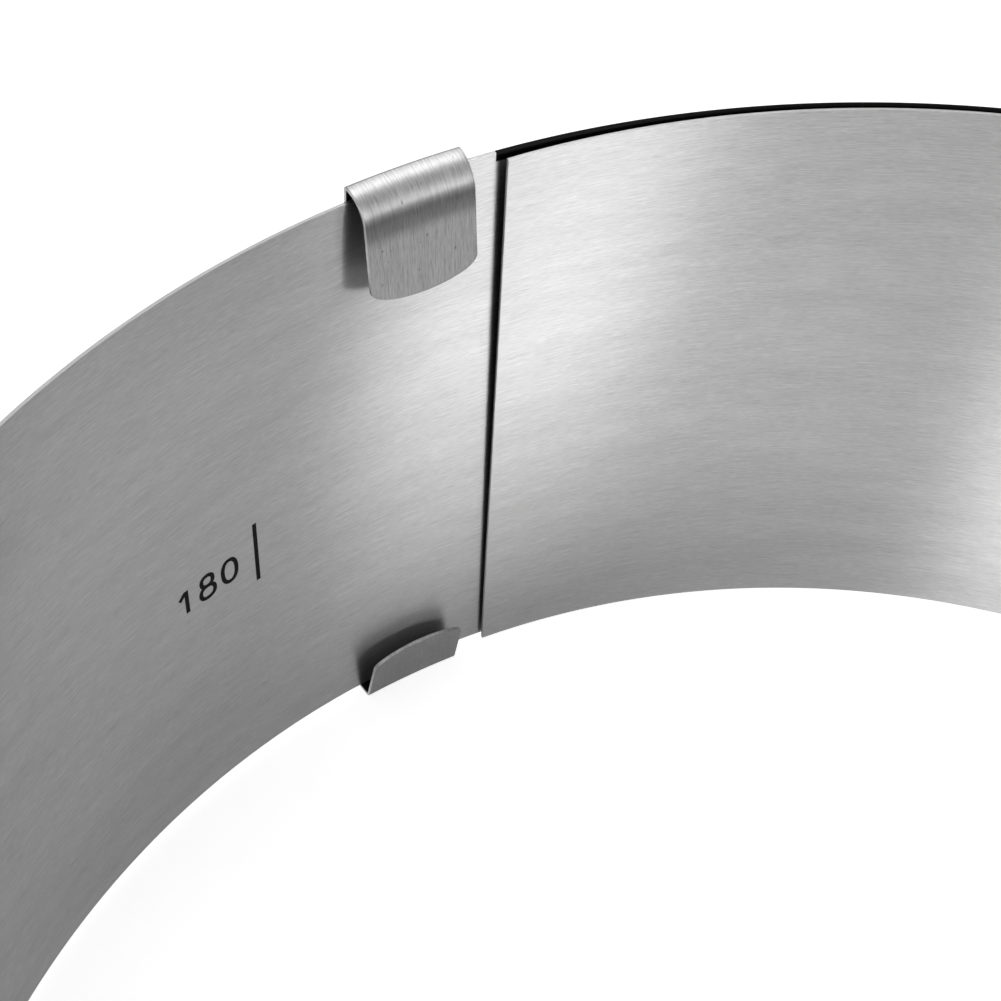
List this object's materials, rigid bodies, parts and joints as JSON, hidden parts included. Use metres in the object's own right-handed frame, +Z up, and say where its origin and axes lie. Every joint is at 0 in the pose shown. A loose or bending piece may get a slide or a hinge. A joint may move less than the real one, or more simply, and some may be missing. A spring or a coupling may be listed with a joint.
{
  "type": "adjustable cake ring",
  "caption": "Adjustable round cake ring: a tall band of brushed spring steel, coiled with an overlap so its diameter can be set on a scale, held by a small sliding edge clamp.",
  "frame": {"origin": "centre of the bounding box in plan, on the surface that the ring stands on", "axes": "+Z is up along the ring's height, the sliding clamp faces -Y, and the strip winds clockwise seen from above"},
  "size_m": [0.1906, 0.1918, 0.0776],
  "materials": {
    "strip_steel": "brushed along the strip",
    "clamp_steel": "satin sheet steel, grain upright"
  },
  "bodies": {
    "band_01": {"band_01": "strip_steel"},
    "band_02": {"band_02": "strip_steel"},
    "band_03": {"band_03": "strip_steel"},
    "band_04": {"band_04": "strip_steel"},
    "band_05": {"band_05": "strip_steel"},
    "band_06": {"band_06": "strip_steel"},
    "band_07": {"band_07": "strip_steel"},
    "band_08": {"band_08": "strip_steel"},
    "band_09": {"band_09": "strip_steel"},
    "band_10": {"band_10": "strip_steel"},
    "band_11": {"band_11": "strip_steel"},
    "band_12": {"band_12": "strip_steel"},
    "band_13": {"band_13": "strip_steel"},
    "band_14": {"band_14": "strip_steel"},
    "band_15": {"band_15": "strip_steel"},
    "band_16": {"band_16": "strip_steel"},
    "band_17": {"band_17": "strip_steel"},
    "band_18": {"band_18": "strip_steel"},
    "band_19": {"band_19": "strip_steel"},
    "band_20": {"band_20": "strip_steel"},
    "band_21": {"band_21": "strip_steel"},
    "band_22": {"band_22": "strip_steel"},
    "band_23": {"band_23": "strip_steel"},
    "band_24": {"band_24": "strip_steel"},
    "band_25": {"band_25": "strip_steel"},
    "band_26": {"band_26": "strip_steel"},
    "band_27": {"band_27": "strip_steel"},
    "band_28": {"band_28": "strip_steel"},
    "band_29": {"band_29": "strip_steel"},
    "band_30": {"band_30": "strip_steel"},
    "band_31": {"band_31": "strip_steel"},
    "band_32": {"band_32": "strip_steel"},
    "band_33": {"band_33": "strip_steel"},
    "band_34": {"band_34": "strip_steel"},
    "band_35": {"band_35": "strip_steel"},
    "band_36": {"band_36": "strip_steel"},
    "band_37": {"band_37": "strip_steel"},
    "band_38": {"band_38": "strip_steel"},
    "band_39": {"band_39": "strip_steel"},
    "band_40": {"band_40": "strip_steel"},
    "edge_clamp": {"edge_clamp": "clamp_steel"}
  },
  "joints": [
    {"name": "bend_23", "type": "hinge", "parent": "band_24", "child": "band_23", "pos_m": [0.01146, -0.09433, 0.0387], "axis": [0, 0, -1], "range_deg": [-2.74, 5.5]},
    {"name": "bend_22", "type": "hinge", "parent": "band_23", "child": "band_22", "pos_m": [0.03555, -0.08815, 0.0387], "axis": [0, 0, -1], "range_deg": [-2.74, 5.51]},
    {"name": "bend_21", "type": "hinge", "parent": "band_22", "child": "band_21", "pos_m": [0.05721, -0.07594, 0.0387], "axis": [0, 0, -1], "range_deg": [-2.75, 5.51]},
    {"name": "bend_20", "type": "hinge", "parent": "band_21", "child": "band_20", "pos_m": [0.07496, -0.05853, 0.0387], "axis": [0, 0, -1], "range_deg": [-2.75, 5.52]},
    {"name": "bend_19", "type": "hinge", "parent": "band_20", "child": "band_19", "pos_m": [0.08759, -0.0371, 0.0387], "axis": [0, 0, -1], "range_deg": [-2.75, 5.52]},
    {"name": "bend_18", "type": "hinge", "parent": "band_19", "child": "band_18", "pos_m": [0.09422, -0.01314, 0.0387], "axis": [0, 0, -1], "range_deg": [-2.75, 5.52]},
    {"name": "bend_17", "type": "hinge", "parent": "band_18", "child": "band_17", "pos_m": [0.0944, 0.01172, 0.0387], "axis": [0, 0, -1], "range_deg": [-2.76, 5.53]},
    {"name": "bend_16", "type": "hinge", "parent": "band_17", "child": "band_16", "pos_m": [0.08812, 0.03578, 0.0387], "axis": [0, 0, -1], "range_deg": [-2.76, 5.53]},
    {"name": "bend_15", "type": "hinge", "parent": "band_16", "child": "band_15", "pos_m": [0.0758, 0.05738, 0.0387], "axis": [0, 0, -1], "range_deg": [-2.76, 5.54]},
    {"name": "bend_14", "type": "hinge", "parent": "band_15", "child": "band_14", "pos_m": [0.05829, 0.07503, 0.0387], "axis": [0, 0, -1], "range_deg": [-2.76, 5.54]},
    {"name": "bend_13", "type": "hinge", "parent": "band_14", "child": "band_13", "pos_m": [0.03679, 0.08753, 0.0387], "axis": [0, 0, -1], "range_deg": [-2.76, 5.55]},
    {"name": "bend_12", "type": "hinge", "parent": "band_13", "child": "band_12", "pos_m": [0.01278, 0.09399, 0.0387], "axis": [0, 0, -1], "range_deg": [-2.77, 5.55]},
    {"name": "bend_11", "type": "hinge", "parent": "band_12", "child": "band_11", "pos_m": [-0.01208, 0.09399, 0.0387], "axis": [0, 0, -1], "range_deg": [-2.77, 5.56]},
    {"name": "bend_10", "type": "hinge", "parent": "band_11", "child": "band_10", "pos_m": [-0.03609, 0.08751, 0.0387], "axis": [0, 0, -1], "range_deg": [-2.77, 5.56]},
    {"name": "bend_09", "type": "hinge", "parent": "band_10", "child": "band_09", "pos_m": [-0.05758, 0.075, 0.0387], "axis": [0, 0, -1], "range_deg": [-2.77, 5.56]},
    {"name": "bend_08", "type": "hinge", "parent": "band_09", "child": "band_08", "pos_m": [-0.07507, 0.05732, 0.0387], "axis": [0, 0, -1], "range_deg": [-2.78, 5.57]},
    {"name": "bend_07", "type": "hinge", "parent": "band_08", "child": "band_07", "pos_m": [-0.08734, 0.0357, 0.0387], "axis": [0, 0, -1], "range_deg": [-2.78, 5.57]},
    {"name": "bend_06", "type": "hinge", "parent": "band_07", "child": "band_06", "pos_m": [-0.09355, 0.01162, 0.0387], "axis": [0, 0, -1], "range_deg": [-2.78, 5.58]},
    {"name": "bend_05", "type": "hinge", "parent": "band_06", "child": "band_05", "pos_m": [-0.09327, -0.01324, 0.0387], "axis": [0, 0, -1], "range_deg": [-2.78, 5.58]},
    {"name": "bend_04", "type": "hinge", "parent": "band_05", "child": "band_04", "pos_m": [-0.0865, -0.03717, 0.0387], "axis": [0, 0, -1], "range_deg": [-2.78, 5.59]},
    {"name": "bend_03", "type": "hinge", "parent": "band_04", "child": "band_03", "pos_m": [-0.07372, -0.0585, 0.0387], "axis": [0, 0, -1], "range_deg": [-2.79, 5.59]},
    {"name": "bend_02", "type": "hinge", "parent": "band_03", "child": "band_02", "pos_m": [-0.05582, -0.07575, 0.0387], "axis": [0, 0, -1], "range_deg": [-2.79, 5.6]},
    {"name": "bend_01", "type": "hinge", "parent": "band_02", "child": "band_01", "pos_m": [-0.03403, -0.08772, 0.0387], "axis": [0, 0, -1], "range_deg": [-2.79, 5.6]},
    {"name": "bend_25", "type": "hinge", "parent": "band_24", "child": "band_25", "pos_m": [-0.0134, -0.09405, 0.0387], "axis": [0, 0, 1], "range_deg": [-2.74, 5.5]},
    {"name": "bend_26", "type": "hinge", "parent": "band_25", "child": "band_26", "pos_m": [-0.03734, -0.08734, 0.0387], "axis": [0, 0, 1], "range_deg": [-2.74, 5.49]},
    {"name": "bend_27", "type": "hinge", "parent": "band_26", "child": "band_27", "pos_m": [-0.05873, -0.07466, 0.0387], "axis": [0, 0, 1], "range_deg": [-2.74, 5.49]},
    {"name": "bend_28", "type": "hinge", "parent": "band_27", "child": "band_28", "pos_m": [-0.07611, -0.05687, 0.0387], "axis": [0, 0, 1], "range_deg": [-2.73, 5.48]},
    {"name": "bend_29", "type": "hinge", "parent": "band_28", "child": "band_29", "pos_m": [-0.08829, -0.0352, 0.0387], "axis": [0, 0, 1], "range_deg": [-2.73, 5.48]},
    {"name": "bend_30", "type": "hinge", "parent": "band_29", "child": "band_30", "pos_m": [-0.09446, -0.01111, 0.0387], "axis": [0, 0, 1], "range_deg": [-2.73, 5.48]},
    {"name": "bend_31", "type": "hinge", "parent": "band_30", "child": "band_31", "pos_m": [-0.09418, 0.01376, 0.0387], "axis": [0, 0, 1], "range_deg": [-2.73, 5.47]},
    {"name": "bend_32", "type": "hinge", "parent": "band_31", "child": "band_32", "pos_m": [-0.08748, 0.0377, 0.0387], "axis": [0, 0, 1], "range_deg": [-2.72, 5.47]},
    {"name": "bend_33", "type": "hinge", "parent": "band_32", "child": "band_33", "pos_m": [-0.07483, 0.05911, 0.0387], "axis": [0, 0, 1], "range_deg": [-2.72, 5.46]},
    {"name": "bend_34", "type": "hinge", "parent": "band_33", "child": "band_34", "pos_m": [-0.05707, 0.07652, 0.0387], "axis": [0, 0, 1], "range_deg": [-2.72, 5.46]},
    {"name": "bend_35", "type": "hinge", "parent": "band_34", "child": "band_35", "pos_m": [-0.03542, 0.08875, 0.0387], "axis": [0, 0, 1], "range_deg": [-2.72, 5.45]},
    {"name": "bend_36", "type": "hinge", "parent": "band_35", "child": "band_36", "pos_m": [-0.01135, 0.09499, 0.0387], "axis": [0, 0, 1], "range_deg": [-2.72, 5.45]},
    {"name": "bend_37", "type": "hinge", "parent": "band_36", "child": "band_37", "pos_m": [0.01351, 0.0948, 0.0387], "axis": [0, 0, 1], "range_deg": [-2.71, 5.45]},
    {"name": "bend_38", "type": "hinge", "parent": "band_37", "child": "band_38", "pos_m": [0.03749, 0.08821, 0.0387], "axis": [0, 0, 1], "range_deg": [-2.71, 5.44]},
    {"name": "bend_39", "type": "hinge", "parent": "band_38", "child": "band_39", "pos_m": [0.05896, 0.07566, 0.0387], "axis": [0, 0, 1], "range_deg": [-2.71, 5.44]},
    {"name": "bend_40", "type": "hinge", "parent": "band_39", "child": "band_40", "pos_m": [0.07646, 0.058, 0.0387], "axis": [0, 0, 1], "range_deg": [-2.71, 5.43]},
    {"name": "clamp_slide", "type": "hinge", "parent": "band_24", "child": "edge_clamp", "pos_m": [0.00022, 0.00013, 0.0387], "axis": [0, 0, 1], "range_deg": [-2.89, 2.89]}
  ],
  "couplings": [
    {"joint": "bend_22", "follows": "bend_23", "ratio": 1.0008},
    {"joint": "bend_21", "follows": "bend_23", "ratio": 1.0016},
    {"joint": "bend_20", "follows": "bend_23", "ratio": 1.0024},
    {"joint": "bend_19", "follows": "bend_23", "ratio": 1.0032},
    {"joint": "bend_18", "follows": "bend_23", "ratio": 1.004},
    {"joint": "bend_17", "follows": "bend_23", "ratio": 1.0048},
    {"joint": "bend_16", "follows": "bend_23", "ratio": 1.0057},
    {"joint": "bend_15", "follows": "bend_23", "ratio": 1.0065},
    {"joint": "bend_14", "follows": "bend_23", "ratio": 1.0073},
    {"joint": "bend_13", "follows": "bend_23", "ratio": 1.0081},
    {"joint": "bend_12", "follows": "bend_23", "ratio": 1.0089},
    {"joint": "bend_11", "follows": "bend_23", "ratio": 1.0097},
    {"joint": "bend_10", "follows": "bend_23", "ratio": 1.0105},
    {"joint": "bend_09", "follows": "bend_23", "ratio": 1.0114},
    {"joint": "bend_08", "follows": "bend_23", "ratio": 1.0122},
    {"joint": "bend_07", "follows": "bend_23", "ratio": 1.013},
    {"joint": "bend_06", "follows": "bend_23", "ratio": 1.0138},
    {"joint": "bend_05", "follows": "bend_23", "ratio": 1.0147},
    {"joint": "bend_04", "follows": "bend_23", "ratio": 1.0155},
    {"joint": "bend_03", "follows": "bend_23", "ratio": 1.0163},
    {"joint": "bend_02", "follows": "bend_23", "ratio": 1.0171},
    {"joint": "bend_01", "follows": "bend_23", "ratio": 1.018},
    {"joint": "bend_25", "follows": "bend_23", "ratio": 0.9992},
    {"joint": "bend_26", "follows": "bend_23", "ratio": 0.9984},
    {"joint": "bend_27", "follows": "bend_23", "ratio": 0.9976},
    {"joint": "bend_28", "follows": "bend_23", "ratio": 0.99679},
    {"joint": "bend_29", "follows": "bend_23", "ratio": 0.996},
    {"joint": "bend_30", "follows": "bend_23", "ratio": 0.9952},
    {"joint": "bend_31", "follows": "bend_23", "ratio": 0.9944},
    {"joint": "bend_32", "follows": "bend_23", "ratio": 0.99361},
    {"joint": "bend_33", "follows": "bend_23", "ratio": 0.99281},
    {"joint": "bend_34", "follows": "bend_23", "ratio": 0.99202},
    {"joint": "bend_35", "follows": "bend_23", "ratio": 0.99123},
    {"joint": "bend_36", "follows": "bend_23", "ratio": 0.99044},
    {"joint": "bend_37", "follows": "bend_23", "ratio": 0.98965},
    {"joint": "bend_38", "follows": "bend_23", "ratio": 0.98886},
    {"joint": "bend_39", "follows": "bend_23", "ratio": 0.98807},
    {"joint": "bend_40", "follows": "bend_23", "ratio": 0.98729}
  ]
}
